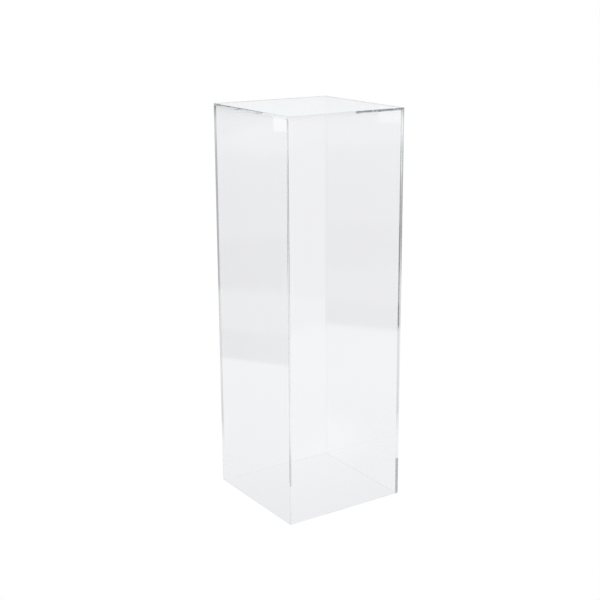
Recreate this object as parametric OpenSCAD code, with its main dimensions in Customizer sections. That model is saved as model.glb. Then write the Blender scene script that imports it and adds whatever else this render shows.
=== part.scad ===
// Clear acrylic pedestal display case: five cemented sheets, open underneath.
// Origin at the middle of the footprint, on the surface that the rim stands on. +Z is up.

/* [Case] */
// Outside width of the case, along X
case_w = 304.8; // [150:0.1:900]
// Outside depth of the case, along Y
case_d = 304.8; // [150:0.1:900]
// Height from the rim to the upper face of the top sheet
case_h = 914.4; // [200:0.1:1800]

/* [Sheet] */
// Thickness of the four wall sheets
wall_t = 6; // [3:0.1:12]
// Thickness of the top sheet
top_t = 6; // [3:0.1:12]

/* [Polished edges] */
// Leg of the 45 degree arris scraped along every free edge of the cemented case
arris = 0.4; // [0.2:0.1:1]

/* [Hidden] */

half_w = case_w / 2;
half_d = case_d / 2;
// The walls stop under the top sheet, which lies on all four of them.
wall_h = case_h - top_t;
// The front and back walls are captive: they stand between the left and right ones.
captive_w = case_w - 2 * wall_t;
// Clear hollow between the inner faces
inner_w = case_w - 2 * wall_t;
inner_d = case_d - 2 * wall_t;
// Cutters reach this far past the faces they cut
overrun = 1;

clear_sheet = [0.90, 0.94, 0.96, 0.35];

// Rectangle u by v with all four corners cut back by the arris, centred on the origin.
module arrised_rectangle(u, v) {
    hu = u / 2;
    hv = v / 2;
    polygon([
        [-hu + arris, -hv], [hu - arris, -hv],
        [hu, -hv + arris], [hu, hv - arris],
        [hu - arris, hv], [-hu + arris, hv],
        [-hu, hv - arris], [-hu, -hv + arris],
    ]);
}

// The outside of the whole case with its arris run round all twelve free edges, mitred at the
// corners. Each sheet is cut to it, so that the arris crosses a flush joint without a step.
module case_envelope() {
    intersection() {
        linear_extrude(case_h)
            arrised_rectangle(case_w, case_d);
        translate([0, half_d, case_h / 2])
            rotate([90, 0, 0])
                linear_extrude(case_d)
                    arrised_rectangle(case_w, case_h);
        translate([-half_w, 0, case_h / 2])
            rotate([90, 0, 90])
                linear_extrude(case_w)
                    arrised_rectangle(case_d, case_h);
    }
}

// Profile of the cut inside the rim: it opens at 45 degrees from one arris above the rim down
// past it, across a hollow that is u wide.
module rim_profile(u) {
    low = arris + overrun;
    polygon([
        [-u / 2, arris], [u / 2, arris],
        [u / 2 + low, -overrun], [-u / 2 - low, -overrun],
    ]);
}

// Two prisms crossed give the mitred arris round the inside of the rim.
module inner_rim_cut() {
    intersection() {
        translate([0, half_d + overrun, 0])
            rotate([90, 0, 0])
                linear_extrude(case_d + 2 * overrun)
                    rim_profile(inner_w);
        translate([-half_w - overrun, 0, 0])
            rotate([90, 0, 90])
                linear_extrude(case_w + 2 * overrun)
                    rim_profile(inner_d);
    }
}

// Cuts a square-edged blank to the outside of the case and takes the inside of the rim off it.
// Where a sheet is cemented to its neighbour its edge stays square.
module finish_edges() {
    difference() {
        intersection() {
            children();
            case_envelope();
        }
        inner_rim_cut();
    }
}

// Wall that runs the full depth. side is -1 for the left one and 1 for the right one.
module through_wall(side) {
    finish_edges()
        translate([side * (half_w - wall_t / 2), 0, wall_h / 2])
            cube([wall_t, case_d, wall_h], center = true);
}

// Wall held between the through walls. side is -1 for the front one and 1 for the back one.
module captive_wall(side) {
    finish_edges()
        translate([0, side * (half_d - wall_t / 2), wall_h / 2])
            cube([captive_w, wall_t, wall_h], center = true);
}

// Sheet that lies on the upper edges of all four walls, flush with their outer faces.
module top_sheet() {
    color(clear_sheet)
        finish_edges()
            translate([0, 0, wall_h + top_t / 2])
                cube([case_w, case_d, top_t], center = true);
}

module left_wall() {
    color(clear_sheet) through_wall(-1);
}

module right_wall() {
    color(clear_sheet) through_wall(1);
}

module front_wall() {
    color(clear_sheet) captive_wall(-1);
}

module back_wall() {
    color(clear_sheet) captive_wall(1);
}

top_sheet();
left_wall();
right_wall();
front_wall();
back_wall();
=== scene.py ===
"""Clear acrylic pedestal display case: five cast sheets, cemented edge to face, open underneath.

The sheets are dressed as what they are: glass-cast acrylic with clear faces, scraped and buffed
edges, and joints that were filled by capillary with solvent cement. The studio round them is a
white paper sweep in a dim room, because clear sheet shows little but what it mirrors.
"""
import logging
import math
from dataclasses import dataclass
from enum import Enum, IntEnum

import bmesh
import bpy
from mathutils import Matrix, Vector


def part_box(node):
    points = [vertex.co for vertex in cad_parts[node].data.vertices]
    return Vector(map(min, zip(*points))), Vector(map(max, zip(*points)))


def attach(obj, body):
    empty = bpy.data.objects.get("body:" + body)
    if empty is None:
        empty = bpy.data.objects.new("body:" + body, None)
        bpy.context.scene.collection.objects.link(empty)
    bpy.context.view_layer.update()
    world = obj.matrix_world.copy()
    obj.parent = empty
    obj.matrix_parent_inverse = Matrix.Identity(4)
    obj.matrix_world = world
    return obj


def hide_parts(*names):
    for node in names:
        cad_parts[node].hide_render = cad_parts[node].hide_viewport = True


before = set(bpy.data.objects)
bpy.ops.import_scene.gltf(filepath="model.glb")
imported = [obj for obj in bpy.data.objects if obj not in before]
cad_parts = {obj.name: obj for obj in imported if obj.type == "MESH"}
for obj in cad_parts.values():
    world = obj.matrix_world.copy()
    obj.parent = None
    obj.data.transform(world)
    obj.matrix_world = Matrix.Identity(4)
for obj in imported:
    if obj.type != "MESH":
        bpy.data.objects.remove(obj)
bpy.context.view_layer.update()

BODY = "root"
MILLIMETRE = 0.001
# Two points nearer than this are the same one, in metres
TOUCH = 1e-6
# Share of a face's normal along an axis from which the face counts as square to it
SQUARE_TO = 0.99
# Turn between two faces from which the edge between them counts as sharp, in radians
SHARP = 0.1
WHITE = "#FFFFFF"
# Colour of the cool daylight that fills the studio, where a sheet mirrors it
DAYLIGHT = "#FBFEFF"

log = logging.getLogger("display_case")


def linear(hex_colour: str) -> tuple[float, float, float, float]:
    """Turns an sRGB hex colour into the linear one that shaders take, by the sRGB curve.

    Args:
        hex_colour: Colour such as "#FAFBFC".

    Returns:
        Linear red, green and blue with an alpha of 1.
    """
    parts = [int(hex_colour[i:i + 2], 16) / 255 for i in (1, 3, 5)]
    curve = [p / 12.92 if p <= 0.04045 else ((p + 0.055) / 1.055) ** 2.4 for p in parts]
    return (*curve, 1.0)


def add_node(
    tree: bpy.types.NodeTree, kind: str, inputs: dict | None = None, **settings: object
) -> bpy.types.Node:
    """Adds one shader node, with its settings, its plain values and its links.

    Args:
        tree: Tree that takes the node.
        kind: Blender's name for the node's class.
        inputs: For each input's name or place, a plain value or the output that feeds it.
        settings: The node's own settings, such as operation.

    Returns:
        The new node.
    """
    node = tree.nodes.new(kind)
    for name, value in settings.items():
        setattr(node, name, value)
    for name, value in (inputs or {}).items():
        if isinstance(value, bpy.types.NodeSocket):
            tree.links.new(value, node.inputs[name])
        else:
            node.inputs[name].default_value = value
    return node


def empty_tree(owner: bpy.types.Material | bpy.types.World) -> bpy.types.NodeTree:
    """Returns the owner's node tree with nothing in it."""
    owner.use_nodes = True
    owner.node_tree.nodes.clear()
    return owner.node_tree


# ---------------------------------------------------------------- finishes


class Finish(IntEnum):
    """Finishes of a sheet, in the order of its material slots."""

    CAST_FACE = 0
    BUFFED_EDGE = 1
    CEMENTED = 2


@dataclass(frozen=True)
class CastFace:
    """Face of glass-cast acrylic sheet, as it left the mould.

    The sheet was cast between plates of float glass, so its faces are as smooth as glass and
    mirror sharply. The resin shrinks a little unevenly as it sets, which leaves a slow ripple
    that makes mirrored edges wander, and wiping the sheet leaves a faint haze.
    """

    name: str = "cast_acrylic_face"
    tint: str = "#FCFCFD"
    ior: float = 1.49
    ripple_mm: float = 70.0
    ripple_height_mm: float = 0.012
    wipe_mm: float = 9.0
    # Cloth marks run round and up the sheet, so their noise is drawn out along the height.
    wipe_stretch: tuple[float, float, float] = (1.0, 1.0, 0.25)
    # Values of the noise between which the haze comes in, and the roughness that it goes from
    # and to
    haze_from: tuple[float, float] = (0.45, 0.75)
    roughness: tuple[float, float] = (0.004, 0.030)

    def build(self) -> bpy.types.Material:
        """Returns the finish as a node material."""
        material = bpy.data.materials.new(self.name)
        tree = empty_tree(material)
        place = add_node(tree, "ShaderNodeTexCoord").outputs["Object"]
        ripple = add_node(
            tree, "ShaderNodeTexNoise",
            {"Vector": place, "Scale": 1 / (self.ripple_mm * MILLIMETRE), "Detail": 1.0},
        )
        bump = add_node(
            tree, "ShaderNodeBump",
            {"Height": ripple.outputs["Fac"], "Distance": self.ripple_height_mm * MILLIMETRE},
        )
        along = add_node(
            tree, "ShaderNodeMapping", {"Vector": place, "Scale": self.wipe_stretch}
        )
        wiped = add_node(
            tree, "ShaderNodeTexNoise",
            {
                "Vector": along.outputs["Vector"],
                "Scale": 1 / (self.wipe_mm * MILLIMETRE),
                "Detail": 5.0,
                "Roughness": 0.6,
            },
        )
        haze = add_node(
            tree, "ShaderNodeMapRange",
            {
                "Value": wiped.outputs["Fac"],
                "From Min": self.haze_from[0], "From Max": self.haze_from[1],
                "To Min": self.roughness[0], "To Max": self.roughness[1],
            },
        )
        sheet = add_node(
            tree, "ShaderNodeBsdfPrincipled",
            {
                "Base Color": linear(self.tint), "Roughness": haze.outputs["Result"],
                "IOR": self.ior, "Transmission Weight": 1.0, "Normal": bump.outputs["Normal"],
            },
        )
        add_node(tree, "ShaderNodeOutputMaterial", {"Surface": sheet.outputs["BSDF"]})
        return material


@dataclass(frozen=True)
class BuffedEdge:
    """Edge of the sheet, sawn, scraped along its length and buffed clear.

    Scraping leaves fine lines along the edge and a slow chatter across it. Buffing clears the
    edge without flattening it, so what shines through it is drawn out and a little broken.
    """

    name: str = "buffed_acrylic_edge"
    tint: str = "#FCFCFD"
    ior: float = 1.49
    chatter_mm: float = 11.0
    chatter_height_mm: float = 0.006
    # Real scraper lines are 0.05 mm apart: they are drawn wider so that they show.
    scrape_mm: float = 0.4
    # Values of the noise between which the scraper lines come in, and the roughness that they
    # go from and to
    scraped_from: tuple[float, float] = (0.35, 0.70)
    roughness: tuple[float, float] = (0.03, 0.11)

    def build(self) -> bpy.types.Material:
        """Returns the finish as a node material."""
        material = bpy.data.materials.new(self.name)
        tree = empty_tree(material)
        place = add_node(tree, "ShaderNodeTexCoord").outputs["Object"]
        chatter = add_node(
            tree, "ShaderNodeTexNoise",
            {"Vector": place, "Scale": 1 / (self.chatter_mm * MILLIMETRE), "Detail": 2.0},
        )
        bump = add_node(
            tree, "ShaderNodeBump",
            {"Height": chatter.outputs["Fac"], "Distance": self.chatter_height_mm * MILLIMETRE},
        )
        scraped = add_node(
            tree, "ShaderNodeTexNoise",
            {"Vector": place, "Scale": 1 / (self.scrape_mm * MILLIMETRE), "Detail": 2.0},
        )
        shine = add_node(
            tree, "ShaderNodeMapRange",
            {
                "Value": scraped.outputs["Fac"],
                "From Min": self.scraped_from[0], "From Max": self.scraped_from[1],
                "To Min": self.roughness[0], "To Max": self.roughness[1],
            },
        )
        edge = add_node(
            tree, "ShaderNodeBsdfPrincipled",
            {
                "Base Color": linear(self.tint), "Roughness": shine.outputs["Result"],
                "IOR": self.ior, "Transmission Weight": 1.0, "Normal": bump.outputs["Normal"],
            },
        )
        add_node(tree, "ShaderNodeOutputMaterial", {"Surface": edge.outputs["BSDF"]})
        return material


@dataclass(frozen=True)
class CementedFace:
    """Face inside a joint, wetted by solvent cement.

    The cement softens both sheets and dries as acrylic, so light crosses the joint without
    bending or being mirrored: the index across it is 1. Only pin bubbles caught in the cement
    show, as fine grey specks.
    """

    name: str = "solvent_cemented_joint"
    clear: str = WHITE
    bubble: str = "#B4BABF"
    index_across: float = 1.0
    # Real pin bubbles are 0.2 mm across: they are drawn wider so that they show.
    bubble_mm: float = 0.6
    # Distance from one bubble to the next
    spacing_mm: float = 5.0

    def build(self) -> bpy.types.Material:
        """Returns the finish as a node material."""
        material = bpy.data.materials.new(self.name)
        tree = empty_tree(material)
        place = add_node(tree, "ShaderNodeTexCoord").outputs["Object"]
        cells = add_node(
            tree, "ShaderNodeTexVoronoi",
            {"Vector": place, "Scale": 1 / (self.spacing_mm * MILLIMETRE)},
        )
        speck = add_node(
            tree, "ShaderNodeMapRange",
            {
                "Value": cells.outputs["Distance"],
                "From Min": self.bubble_mm / self.spacing_mm / 2,
                "From Max": self.bubble_mm / self.spacing_mm,
            },
        )
        colour = add_node(
            tree, "ShaderNodeMix",
            {
                "Factor": speck.outputs["Result"], "A": linear(self.bubble),
                "B": linear(self.clear),
            },
            data_type="RGBA",
        )
        joint = add_node(
            tree, "ShaderNodeBsdfPrincipled",
            {
                "Base Color": colour.outputs["Result"], "Roughness": 0.0,
                "IOR": self.index_across, "Transmission Weight": 1.0,
            },
        )
        add_node(tree, "ShaderNodeOutputMaterial", {"Surface": joint.outputs["BSDF"]})
        return material


class CaseFinishes:
    """The three finishes that every sheet of the case has."""

    def __init__(self) -> None:
        """Builds each finish once, so that all the sheets share it."""
        self.materials = {
            Finish.CAST_FACE: CastFace().build(),
            Finish.BUFFED_EDGE: BuffedEdge().build(),
            Finish.CEMENTED: CementedFace().build(),
        }

    def dress(self, mesh: bpy.types.Mesh) -> None:
        """Gives a mesh its slots in the order of Finish."""
        for finish in Finish:
            mesh.materials.append(self.materials[finish])


# ---------------------------------------------------------------- the case


class Sheet(Enum):
    """The sheets of the case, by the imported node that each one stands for."""

    TOP = "top_sheet"
    LEFT = "left_wall"
    RIGHT = "right_wall"
    FRONT = "front_wall"
    BACK = "back_wall"


@dataclass(frozen=True)
class CaseSizes:
    """Outside sizes and sheet thicknesses of the case, in metres."""

    half_width: float
    half_depth: float
    height: float
    wall: float
    top: float
    # Leg of the arris on a free edge
    arris: float = 0.25 * MILLIMETRE
    # Leg of the hairline that is left along a cemented joint when its edges are scraped flush
    hairline: float = 0.1 * MILLIMETRE
    # How far one cemented face reaches past its neighbour's, so that no two lie in one plane
    wetting: float = 0.03 * MILLIMETRE
    # Cast sheet is never quite of its nominal gauge. How far it is off decides by how many
    # mirrorings light crosses it, and so which side of the studio each of its edges shows.
    walls_off_gauge: float = 0.1 * MILLIMETRE
    top_off_gauge: float = -0.2 * MILLIMETRE

    @classmethod
    def from_frame(cls) -> "CaseSizes":
        """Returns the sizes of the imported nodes."""
        low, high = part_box(Sheet.TOP.value)
        wall_low, wall_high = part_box(Sheet.LEFT.value)
        return cls(
            half_width=high.x,
            half_depth=high.y,
            height=high.z,
            wall=wall_high.x - wall_low.x + cls.walls_off_gauge,
            top=high.z - low.z + cls.top_off_gauge,
        )

    @property
    def hollow(self) -> tuple[Vector, Vector]:
        """Lowest and highest corner of the clear hollow between the walls."""
        low = Vector((-self.half_width + self.wall, -self.half_depth + self.wall, 0.0))
        high = Vector((-low.x, -low.y, self.wall_height))
        return low, high

    @property
    def wall_height(self) -> float:
        """Height of the walls, up to the underside of the top sheet."""
        return self.height - self.top

    def outer_planes(self, *points: Vector) -> int:
        """Counts the planes of the case's outside that hold all the points."""
        pairs = [
            (lambda p: abs(p.x), self.half_width),
            (lambda p: abs(p.y), self.half_depth),
            (lambda p: p.z, 0.0),
            (lambda p: p.z, self.height),
        ]
        return sum(
            all(abs(measure(p) - plane) < TOUCH for p in points) for measure, plane in pairs
        )

    def over_hollow(self, point: Vector) -> bool:
        """True if a point is above or below the clear hollow, its outline included."""
        low, high = self.hollow
        return (
            low.x - TOUCH < point.x < high.x + TOUCH
            and low.y - TOUCH < point.y < high.y + TOUCH
        )


@dataclass(frozen=True)
class SheetBuilder:
    """Cuts one sheet of the case, scrapes its edges and dresses it."""

    sheet: Sheet
    sizes: CaseSizes
    finishes: CaseFinishes
    # Flats that round off one arris, and one hairline
    arris_flats: int = 2
    hairline_flats: int = 1
    # A joint comes out on the case where the open face beside it looks outward by at least this
    # much and not down by more than that: shares of its normal.
    looks_out: float = 0.2
    looks_down: float = 0.5

    def blank(self) -> tuple[Vector, Vector]:
        """Works out the square-edged sheet.

        Returns:
            Its lowest and its highest corner. An edge that is cemented to a face reaches past
            that face by the wetting.
        """
        s = self.sizes
        hollow_low, hollow_high = s.hollow
        low = Vector((-s.half_width, -s.half_depth, 0.0))
        high = Vector((s.half_width, s.half_depth, s.wall_height + s.wetting))
        if self.sheet is Sheet.TOP:
            low.z, high.z = s.wall_height, s.height
        elif self.sheet is Sheet.LEFT:
            high.x = hollow_low.x
        elif self.sheet is Sheet.RIGHT:
            low.x = hollow_high.x
        else:
            low.x = hollow_low.x - s.wetting
            high.x = hollow_high.x + s.wetting
            if self.sheet is Sheet.FRONT:
                high.y = hollow_low.y
            else:
                low.y = hollow_high.y
        return low, high

    def mark_joints(self, work: bmesh.types.BMesh) -> None:
        """Scribes the faces of a blank where the edges of its neighbours are cemented on."""
        across = []
        if self.sheet in (Sheet.TOP, Sheet.LEFT, Sheet.RIGHT):
            across.append(Vector((0.0, 1.0, 0.0)))
        if self.sheet is Sheet.TOP:
            across.append(Vector((1.0, 0.0, 0.0)))
        for normal in across:
            for corner in self.sizes.hollow:
                everything = [*work.verts, *work.edges, *work.faces]
                bmesh.ops.bisect_plane(work, geom=everything, plane_co=corner, plane_no=normal)

    def is_arris(self, edge: bmesh.types.BMEdge) -> bool:
        """True for a free edge: one on the outside of the case, or round the inside of the rim."""
        ends = [v.co for v in edge.verts]
        if self.sizes.outer_planes(*ends) >= 2:
            return True
        middle = (ends[0] + ends[1]) / 2
        sharp = edge.calc_face_angle(0.0) > SHARP
        return sharp and middle.z < TOUCH and self.sizes.over_hollow(middle)

    def finish_of(self, face: bmesh.types.BMFace) -> Finish:
        """Says how a face of the sheet was made.

        Args:
            face: A face of the scraped sheet.

        Returns:
            The face's finish.
        """
        s = self.sizes
        middle = face.calc_center_median()
        normal = face.normal
        if self.sheet is Sheet.TOP:
            if normal.z < -SQUARE_TO:
                return Finish.CAST_FACE if s.over_hollow(middle) else Finish.CEMENTED
            return Finish.CAST_FACE if normal.z > SQUARE_TO else Finish.BUFFED_EDGE
        if normal.z > SQUARE_TO:
            return Finish.CEMENTED
        if self.sheet in (Sheet.LEFT, Sheet.RIGHT):
            if abs(normal.x) < SQUARE_TO:
                return Finish.BUFFED_EDGE
            inward = normal.x * middle.x < 0
            beside_hollow = s.hollow[0].y < middle.y < s.hollow[1].y
            return Finish.CEMENTED if inward and not beside_hollow else Finish.CAST_FACE
        if abs(normal.x) > SQUARE_TO:
            return Finish.CEMENTED
        return Finish.CAST_FACE if abs(normal.y) > SQUARE_TO else Finish.BUFFED_EDGE

    def is_joint_line(self, edge: bmesh.types.BMEdge) -> bool:
        """True for an edge where a cemented joint comes out on a side of the case."""
        faces = edge.link_faces
        if {f.material_index == Finish.CEMENTED for f in faces} != {True, False}:
            return False
        open_face = next(f for f in faces if f.material_index != Finish.CEMENTED)
        middle = open_face.calc_center_median()
        outward = Vector((middle.x, middle.y, 0.0)).normalized()
        if edge.calc_face_angle(0.0) < SHARP:
            return False
        normal = open_face.normal
        return normal.z > -self.looks_down and normal.dot(outward) > self.looks_out

    def cut(self) -> bpy.types.Mesh:
        """Returns the sheet's closed mesh, with a finish on every face."""
        low, high = self.blank()
        work = bmesh.new()
        bmesh.ops.create_cube(work, size=1.0)
        for vert in work.verts:
            vert.co = Vector(
                upper if side > 0 else lower
                for side, lower, upper in zip(vert.co, low, high, strict=True)
            )
        self.mark_joints(work)
        arrises = [e for e in work.edges if self.is_arris(e)]
        self.scrape(work, arrises, self.sizes.arris, self.arris_flats)
        work.normal_update()
        for face in work.faces:
            face.material_index = self.finish_of(face)
        joint_lines = [e for e in work.edges if self.is_joint_line(e)]
        self.scrape(work, joint_lines, self.sizes.hairline, self.hairline_flats)
        mesh = bpy.data.meshes.new(f"{self.sheet.value}_clear")
        work.to_mesh(mesh)
        work.free()
        return mesh

    @staticmethod
    def scrape(
        work: bmesh.types.BMesh, edges: list[bmesh.types.BMEdge], leg: float, flats: int
    ) -> None:
        """Takes the sharpness off some edges.

        Args:
            work: The sheet.
            edges: Its edges that are scraped.
            leg: Width taken off each of the two faces.
            flats: Flats across the scraped edge.
        """
        if edges:
            bmesh.ops.bevel(
                work, geom=edges, offset=leg, offset_type="OFFSET", segments=flats,
                profile=0.5, affect="EDGES", clamp_overlap=True, material=Finish.BUFFED_EDGE,
            )

    def build(self) -> bpy.types.Object:
        """Returns the dressed sheet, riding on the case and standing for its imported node."""
        mesh = self.cut()
        self.finishes.dress(mesh)
        piece = bpy.data.objects.new(mesh.name, mesh)
        bpy.context.scene.collection.objects.link(piece)
        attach(piece, BODY)
        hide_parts(self.sheet.value)
        return piece


class DisplayCase:
    """The whole case: four walls and the top sheet that lies on them."""

    def __init__(self) -> None:
        """Reads the sizes off the frame and builds the finishes."""
        self.sizes = CaseSizes.from_frame()
        self.finishes = CaseFinishes()

    def build(self) -> list[bpy.types.Object]:
        """Builds every sheet and reports it.

        Returns:
            The sheets, the top one first.
        """
        pieces = []
        for sheet in Sheet:
            piece = SheetBuilder(sheet, self.sizes, self.finishes).build()
            log.info("%s: %d faces", piece.name, len(piece.data.polygons))
            pieces.append(piece)
        return pieces


# ---------------------------------------------------------------- the studio


@dataclass(frozen=True)
class StudioAxes:
    """Directions of the studio, turned from the case's own so that they follow the sweep."""

    # Turn of the sweep's run from the case's +Y towards its +X
    turn_deg: float = 35.0

    @property
    def along(self) -> Vector:
        """Level direction from the front of the sweep to its backdrop."""
        turn = math.radians(self.turn_deg)
        return Vector((math.sin(turn), math.cos(turn), 0.0))

    @property
    def across(self) -> Vector:
        """Level direction across the sweep, to the right of anyone who faces the backdrop."""
        return Vector((self.along.y, -self.along.x, 0.0))


@dataclass(frozen=True)
class FloorPatch:
    """Soft-edged oval patch of the studio floor that is lighter or darker than the rest.

    It is placed along and across the sweep from the middle of the case, in metres. A tone of 1
    is plain white, and one above it is light that burns out.
    """

    along: float
    across: float
    half_along: float
    half_across: float
    tone: float
    # The tone is full where the squares of the two distances, each as a share of the oval's
    # half, add up to less than this. From there it fades out to the oval's edge.
    full_to: float = 0.35

    def lay(
        self,
        tree: bpy.types.NodeTree,
        place: tuple[bpy.types.NodeSocket, bpy.types.NodeSocket],
        under: bpy.types.NodeSocket,
    ) -> bpy.types.NodeSocket:
        """Lays the patch over what is there.

        Args:
            tree: Tree of the floor's material.
            place: Distances along and across the sweep.
            under: Brightness without the patch.

        Returns:
            Brightness with the patch.
        """
        squares = []
        for measured, middle, half in (
            (place[0], self.along, self.half_along), (place[1], self.across, self.half_across),
        ):
            off = add_node(
                tree, "ShaderNodeMath", {0: measured, 1: middle}, operation="SUBTRACT"
            ).outputs["Value"]
            scaled = add_node(
                tree, "ShaderNodeMath", {0: off, 1: half}, operation="DIVIDE"
            ).outputs["Value"]
            squares.append(add_node(
                tree, "ShaderNodeMath", {0: scaled, 1: scaled}, operation="MULTIPLY"
            ).outputs["Value"])
        out = add_node(
            tree, "ShaderNodeMath", {0: squares[0], 1: squares[1]}, operation="ADD"
        ).outputs["Value"]
        strength = add_node(
            tree, "ShaderNodeMapRange",
            {
                "Value": out, "From Min": self.full_to, "From Max": 1.0,
                "To Min": 1.0, "To Max": 0.0,
            },
            interpolation_type="SMOOTHSTEP",
        ).outputs["Result"]
        return add_node(
            tree, "ShaderNodeMix", {"Factor": strength, "A": under, "B": self.tone}
        ).outputs["Result"]


@dataclass(frozen=True)
class PaperSweep:
    """White paper that the case stands on, in a dim room.

    Looked at straight or through the clear sheets, paper and room are both burnt out to white.
    Only what a sheet mirrors shows the room, which is what makes clear acrylic visible. The paper
    glows: the light and shade on it and on the room's floor are painted into that glow.
    """

    axes: StudioAxes
    # Edges of the paper, measured from the middle of the case, in metres
    left: float = -1.07
    right: float = 1.45
    front: float = -0.75
    edge_blur: float = 0.03
    # Brightness of the paper close to the case and a step away, and the distances between which it
    # turns. Close to the case the paper is darker by a painted shade of the case.
    paper_near: float = 0.66
    paper_far: float = 0.76
    near: float = 0.2
    far: float = 0.6
    # What stands out from that: the stretch that the backdrop lights, the far end of the paper,
    # the light that the case throws behind it, a shaded stretch, and two bright streaks far off
    paper_patches: tuple[FloorPatch, ...] = (
        FloorPatch(along=3.0, across=0.2, half_along=3.0, half_across=1.4, tone=0.96),
        FloorPatch(along=9.0, across=-0.2, half_along=3.4, half_across=2.6, tone=0.88),
        FloorPatch(along=0.45, across=0.02, half_along=0.38, half_across=0.36, tone=0.95),
        FloorPatch(along=2.9, across=0.43, half_along=2.25, half_across=0.35, tone=0.38),
        FloorPatch(along=6.2, across=-0.45, half_along=1.5, half_across=0.8, tone=1.15),
        FloorPatch(along=6.9, across=0.58, half_along=0.9, half_across=0.45, tone=1.15),
    )
    # Brightness of the room's floor to the left and to the right, and half the width over
    # which it turns
    room_left: float = 0.42
    room_right: float = 0.46
    room_turn: float = 0.5
    # The room is lighter far off: its brightness there, and the distances between which it turns
    room_far: float = 0.50
    far_off: tuple[float, float] = (3.8, 5.4)
    # What stands out from that: the shadow beside the paper and dark floor past it, two pools
    # of light further off, and the unlit ends of the room
    room_patches: tuple[FloorPatch, ...] = (
        FloorPatch(along=0.5, across=-1.2, half_along=1.4, half_across=0.2, tone=0.26),
        FloorPatch(along=0.9, across=-2.3, half_along=0.5, half_across=0.6, tone=0.28),
        FloorPatch(along=2.15, across=-6.6, half_along=0.75, half_across=1.75, tone=0.72),
        FloorPatch(along=-2.85, across=5.4, half_along=0.5, half_across=1.6, tone=0.70),
        FloorPatch(along=3.0, across=-8.85, half_along=2.0, half_across=1.95, tone=0.10),
        FloorPatch(along=-3.9, across=8.43, half_along=2.0, half_across=1.9, tone=0.08),
    )
    # Colour of the paper under the case, at its front and at its back: light that came through
    # the sheets leaves it a shade darker and cooler than the open paper, most at the front
    under_front: str = "#F3F3F5"
    under_back: str = "#F8F8FA"
    # Half the side of the square floor, in metres
    half_size: float = 60.0
    # The paper lies this far below the rim, so that no two faces lie in one plane.
    drop: float = 0.0002

    def build(self, sizes: CaseSizes) -> bpy.types.Object:
        """Lays the floor under the case.

        Args:
            sizes: Sizes of the case, whose footprint shows in the paper's brightness.

        Returns:
            The floor.
        """
        reach = self.half_size
        corners = [(-reach, -reach), (reach, -reach), (reach, reach), (-reach, reach)]
        mesh = bpy.data.meshes.new("paper_sweep")
        mesh.from_pydata([(x, y, -self.drop) for x, y in corners], [], [(0, 1, 2, 3)])
        mesh.materials.append(self.dress(sizes))
        floor = bpy.data.objects.new("paper_sweep", mesh)
        bpy.context.scene.collection.objects.link(floor)
        return floor

    def dress(self, sizes: CaseSizes) -> bpy.types.Material:
        """Returns the material of the floor.

        Args:
            sizes: Sizes of the case.
        """
        material = bpy.data.materials.new("paper_sweep")
        tree = empty_tree(material)
        place = add_node(tree, "ShaderNodeNewGeometry").outputs["Position"]
        along = add_node(
            tree, "ShaderNodeVectorMath", {0: place, 1: self.axes.along}, operation="DOT_PRODUCT"
        ).outputs["Value"]
        across = add_node(
            tree, "ShaderNodeVectorMath", {0: place, 1: self.axes.across}, operation="DOT_PRODUCT"
        ).outputs["Value"]
        distance = add_node(
            tree, "ShaderNodeVectorMath", {0: place}, operation="LENGTH"
        ).outputs["Value"]
        on_paper = None
        for measured, edge, rises in (
            (across, self.left, True), (across, self.right, False), (along, self.front, True),
        ):
            step = add_node(
                tree, "ShaderNodeMapRange",
                {
                    "Value": measured,
                    "From Min": edge - self.edge_blur, "From Max": edge + self.edge_blur,
                    "To Min": 0.0 if rises else 1.0, "To Max": 1.0 if rises else 0.0,
                },
                interpolation_type="SMOOTHSTEP",
            ).outputs["Result"]
            on_paper = step if on_paper is None else add_node(
                tree, "ShaderNodeMath", {0: on_paper, 1: step}, operation="MULTIPLY"
            ).outputs["Value"]
        paper = add_node(
            tree, "ShaderNodeMapRange",
            {
                "Value": distance, "From Min": self.near, "From Max": self.far,
                "To Min": self.paper_near, "To Max": self.paper_far,
            },
        ).outputs["Result"]
        for patch in self.paper_patches:
            paper = patch.lay(tree, (along, across), paper)
        beside = add_node(
            tree, "ShaderNodeMapRange",
            {
                "Value": across, "From Min": -self.room_turn, "From Max": self.room_turn,
                "To Min": self.room_left, "To Max": self.room_right,
            },
        ).outputs["Result"]
        room = add_node(
            tree, "ShaderNodeMapRange",
            {
                "Value": distance, "From Min": self.far_off[0], "From Max": self.far_off[1],
                "To Min": beside, "To Max": self.room_far,
            },
            interpolation_type="SMOOTHSTEP",
        ).outputs["Result"]
        for patch in self.room_patches:
            room = patch.lay(tree, (along, across), room)
        mirrored = add_node(
            tree, "ShaderNodeMix", {"Factor": on_paper, "A": room, "B": paper}
        ).outputs["Result"]
        shown = burnt_out_unless_mirrored(tree, mirrored)
        shaded = self.shade_footprint(tree, place, sizes)
        lit = add_node(
            tree, "ShaderNodeVectorMath", {0: shown, 1: shaded}, operation="MULTIPLY"
        ).outputs["Vector"]
        glow = add_node(tree, "ShaderNodeEmission", {"Color": lit})
        add_node(tree, "ShaderNodeOutputMaterial", {"Surface": glow.outputs["Emission"]})
        return material

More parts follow.
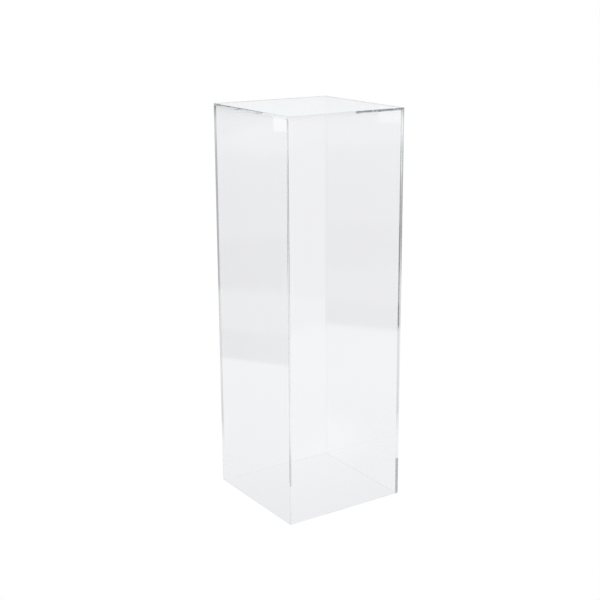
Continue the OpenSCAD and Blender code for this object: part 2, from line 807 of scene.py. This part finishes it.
    def shade_footprint(
        self, tree: bpy.types.NodeTree, place: bpy.types.NodeSocket, sizes: CaseSizes
    ) -> bpy.types.NodeSocket:
        """Works out how the case shades the paper that it stands on.

        Args:
            tree: Tree of the floor's material.
            place: Place on the floor.
            sizes: Sizes of the case.

        Returns:
            The colour by which the floor's is multiplied, which is white away from the case.
        """
        flat = add_node(
            tree, "ShaderNodeVectorMath", {0: place}, operation="ABSOLUTE"
        ).outputs["Vector"]
        sides = add_node(tree, "ShaderNodeSeparateXYZ", {0: flat})
        outermost = add_node(
            tree, "ShaderNodeMath", {0: sides.outputs["X"], 1: sides.outputs["Y"]},
            operation="MAXIMUM",
        ).outputs["Value"]
        outside = add_node(
            tree, "ShaderNodeMapRange",
            {
                "Value": outermost,
                "From Min": sizes.half_width - sizes.wall, "From Max": sizes.half_width,
            },
            interpolation_type="SMOOTHSTEP",
        ).outputs["Result"]
        depth = add_node(tree, "ShaderNodeSeparateXYZ", {0: place}).outputs["Y"]
        towards_back = add_node(
            tree, "ShaderNodeMapRange",
            {"Value": depth, "From Min": -sizes.half_depth, "From Max": sizes.half_depth},
        ).outputs["Result"]
        under = add_node(
            tree, "ShaderNodeMix",
            {
                "Factor": towards_back, "A": linear(self.under_front),
                "B": linear(self.under_back),
            },
            data_type="RGBA",
        ).outputs["Result"]
        return add_node(
            tree, "ShaderNodeMix", {"Factor": outside, "A": under, "B": linear(WHITE)},
            data_type="RGBA",
        ).outputs["Result"]


@dataclass(frozen=True)
class StudioAir:
    """Soft light from all round: a lit backdrop behind the case, and a dim room elsewhere.

    The main light is a large soft one to the right. To the left only the ceiling is bright. The
    room's walls have low windows, and a dim skirting runs all round under windows and backdrop.
    """

    axes: StudioAxes
    # Brightness of the backdrop, of the room's skirting, windows and walls, and of its ceiling
    # and the main light
    backdrop: float = 0.96
    skirting: float = 0.50
    windows: float = 0.92
    walls: float = 0.42
    overhead: float = 0.95
    # Half angle of the backdrop, and the blur of its sides
    half_angle_deg: float = 35.0
    blur_deg: float = 10.0
    # Sines of the heights between which each of these takes over from what is under it
    windows_from: tuple[float, float] = (0.01, 0.09)
    walls_from: tuple[float, float] = (0.14, 0.27)
    ceiling_from: tuple[float, float] = (0.46, 0.75)
    main_light_from: tuple[float, float] = (0.05, 0.13)
    # Sine of the heading to the right by which the main light has fully taken over, and to the
    # left by which the ceiling has
    side_turn: float = 0.4

    def build(self) -> bpy.types.World:
        """Returns the world, set on the scene."""
        world = bpy.data.worlds.new("studio_air")
        bpy.context.scene.world = world
        tree = empty_tree(world)
        way = add_node(tree, "ShaderNodeTexCoord").outputs["Generated"]
        level = add_node(
            tree, "ShaderNodeVectorMath", {0: way, 1: (1.0, 1.0, 0.0)}, operation="MULTIPLY"
        ).outputs["Vector"]
        heading = add_node(
            tree, "ShaderNodeVectorMath", {0: level}, operation="NORMALIZE"
        ).outputs["Vector"]
        facing = add_node(
            tree, "ShaderNodeVectorMath", {0: heading, 1: self.axes.along},
            operation="DOT_PRODUCT",
        ).outputs["Value"]
        height = add_node(tree, "ShaderNodeSeparateXYZ", {0: way}).outputs["Z"]
        walls = add_node(
            tree, "ShaderNodeMapRange",
            {
                "Value": height,
                "From Min": self.walls_from[0], "From Max": self.walls_from[1],
                "To Min": self.windows, "To Max": self.walls,
            },
            interpolation_type="SMOOTHSTEP",
        ).outputs["Result"]
        round_room = add_node(
            tree, "ShaderNodeMapRange",
            {
                "Value": facing,
                "From Min": math.cos(math.radians(self.half_angle_deg + self.blur_deg)),
                "From Max": math.cos(math.radians(self.half_angle_deg - self.blur_deg)),
                "To Min": walls, "To Max": self.backdrop,
            },
            interpolation_type="SMOOTHSTEP",
        ).outputs["Result"]
        room = add_node(
            tree, "ShaderNodeMapRange",
            {
                "Value": height,
                "From Min": self.windows_from[0], "From Max": self.windows_from[1],
                "To Min": self.skirting, "To Max": round_room,
            },
            interpolation_type="SMOOTHSTEP",
        ).outputs["Result"]
        lit = [
            add_node(
                tree, "ShaderNodeMapRange",
                {"Value": height, "From Min": low, "From Max": high},
                interpolation_type="SMOOTHSTEP",
            ).outputs["Result"]
            for low, high in (self.ceiling_from, self.main_light_from)
        ]
        to_right = add_node(
            tree, "ShaderNodeVectorMath", {0: heading, 1: self.axes.across},
            operation="DOT_PRODUCT",
        ).outputs["Value"]
        side = add_node(
            tree, "ShaderNodeMapRange",
            {"Value": to_right, "From Min": -self.side_turn, "From Max": self.side_turn},
        ).outputs["Result"]
        above = add_node(
            tree, "ShaderNodeMix", {"Factor": side, "A": lit[0], "B": lit[1]}
        ).outputs["Result"]
        mirrored = add_node(
            tree, "ShaderNodeMix", {"Factor": above, "A": room, "B": self.overhead}
        ).outputs["Result"]
        light = add_node(
            tree, "ShaderNodeBackground", {"Color": burnt_out_unless_mirrored(tree, mirrored)}
        )
        add_node(tree, "ShaderNodeOutputWorld", {"Surface": light.outputs["Background"]})
        return world


def burnt_out_unless_mirrored(
    tree: bpy.types.NodeTree, mirrored: bpy.types.NodeSocket
) -> bpy.types.NodeSocket:
    """Makes the studio white to a straight look and daylit to one that a sheet has mirrored.

    Args:
        tree: Tree of the floor or of the world.
        mirrored: Brightness that a mirrored look meets.

    Returns:
        The colour for any look.
    """
    mirrorings = add_node(tree, "ShaderNodeLightPath").outputs["Glossy Depth"]
    was_mirrored = add_node(
        tree, "ShaderNodeMath", {0: mirrorings, 1: 0.5}, operation="GREATER_THAN"
    ).outputs["Value"]
    daylit = add_node(
        tree, "ShaderNodeVectorMath", {0: mirrored, 1: linear(DAYLIGHT)[:3]},
        operation="MULTIPLY",
    ).outputs["Vector"]
    return add_node(
        tree, "ShaderNodeMix", {"Factor": was_mirrored, "A": linear(WHITE), "B": daylit},
        data_type="RGBA",
    ).outputs["Result"]


@dataclass(frozen=True)
class ReflectorCard:
    """White card on the left of the sweep, which lights the case from behind.

    The corners of the case mirror it as two pale patches under the top sheet.
    """

    axes: StudioAxes
    # Middle of the card, from the middle of the case, in metres
    along: float = 0.84
    across: float = -2.89
    height: float = 0.5275
    # Its own width, and its depth from top to bottom
    width: float = 0.37
    depth: float = 0.085
    brightness: float = 1.2

    def build(self) -> bpy.types.Object:
        """Returns the card, which faces the case."""
        middle = self.axes.along * self.along + self.axes.across * self.across
        middle.z = self.height
        side = Vector((-middle.y, middle.x, 0.0)).normalized() * self.width / 2
        up = Vector((0.0, 0.0, self.depth / 2))
        mesh = bpy.data.meshes.new("reflector_card")
        mesh.from_pydata(
            [middle - side - up, middle + side - up, middle + side + up, middle - side + up],
            [], [(0, 1, 2, 3)],
        )
        material = bpy.data.materials.new("reflector_card")
        tree = empty_tree(material)
        # The card glows by its own emission, brighter than white, as a lamp would: nothing lights
        # it.
        glow = add_node(
            tree, "ShaderNodeEmission",
            {"Color": linear(WHITE), "Strength": self.brightness},
        )
        add_node(tree, "ShaderNodeOutputMaterial", {"Surface": glow.outputs["Emission"]})
        mesh.materials.append(material)
        card = bpy.data.objects.new("reflector_card", mesh)
        bpy.context.scene.collection.objects.link(card)
        return card


@dataclass(frozen=True)
class PhotoCamera:
    """Camera that stands where the photograph's did, fitted to the corners of the case."""

    place: tuple[float, float, float] = (-1.4634, -2.2128, 1.2027)
    yaw_deg: float = -35.054
    pitch_deg: float = 15.504
    roll_deg: float = 0.172
    # The photograph is this wide and high, in pixels.
    photo_px: float = 600.0
    focal_px: float = 1188.17
    # Column of the photograph that its lens pointed at
    centre_px: float = 340.0
    sensor_mm: float = 36.0
    # Nothing further off is drawn, in metres.
    clip_end: float = 200.0

    def build(self) -> bpy.types.Object:
        """Returns the camera, set on the scene."""
        lens = bpy.data.cameras.new("photo_camera")
        lens.sensor_width = self.sensor_mm
        lens.lens = self.focal_px / self.photo_px * self.sensor_mm
        lens.shift_x = (self.photo_px / 2 - self.centre_px) / self.photo_px
        lens.clip_end = self.clip_end
        camera = bpy.data.objects.new("photo_camera", lens)
        bpy.context.scene.collection.objects.link(camera)
        camera.matrix_world = (
            Matrix.Translation(self.place)
            @ Matrix.Rotation(math.radians(self.yaw_deg), 4, "Z")
            @ Matrix.Rotation(math.radians(90.0 - self.pitch_deg), 4, "X")
            @ Matrix.Rotation(math.radians(self.roll_deg), 4, "Z")
        )
        bpy.context.scene.camera = camera
        return camera


@dataclass(frozen=True)
class LightPaths:
    """How far light is followed.

    It runs along a sheet by 5 to 40 mirrorings, and down a wall by more than 100.
    """

    # Most mirrorings, most crossings of a face, and most of both together
    mirrorings: int = 250
    crossings: int = 250
    total: int = 256

    def apply(self) -> None:
        """Sets the limits on the scene, with plain colours and no blur of sharp mirrorings."""
        scene = bpy.context.scene
        scene.view_settings.view_transform = "Standard"
        scene.cycles.glossy_bounces = self.mirrorings
        scene.cycles.transmission_bounces = self.crossings
        scene.cycles.max_bounces = self.total
        scene.cycles.blur_glossy = 0.0
        scene.cycles.caustics_reflective = True
        scene.cycles.caustics_refractive = True


def main() -> None:
    """Builds the camera, the case and the studio round it, and reports each."""
    logging.basicConfig(level=logging.INFO, format="%(message)s")
    camera = PhotoCamera().build()
    log.info("%s: lens %.1f mm", camera.name, camera.data.lens)
    case = DisplayCase()
    sheets = case.build()
    axes = StudioAxes()
    floor = PaperSweep(axes).build(case.sizes)
    log.info("%s: stage", floor.name)
    card = ReflectorCard(axes).build()
    log.info("%s: stage", card.name)
    air = StudioAir(axes).build()
    log.info("%s: world", air.name)
    LightPaths().apply()
    log.info("display case: %d sheets", len(sheets))


if __name__ == "__main__":
    main()
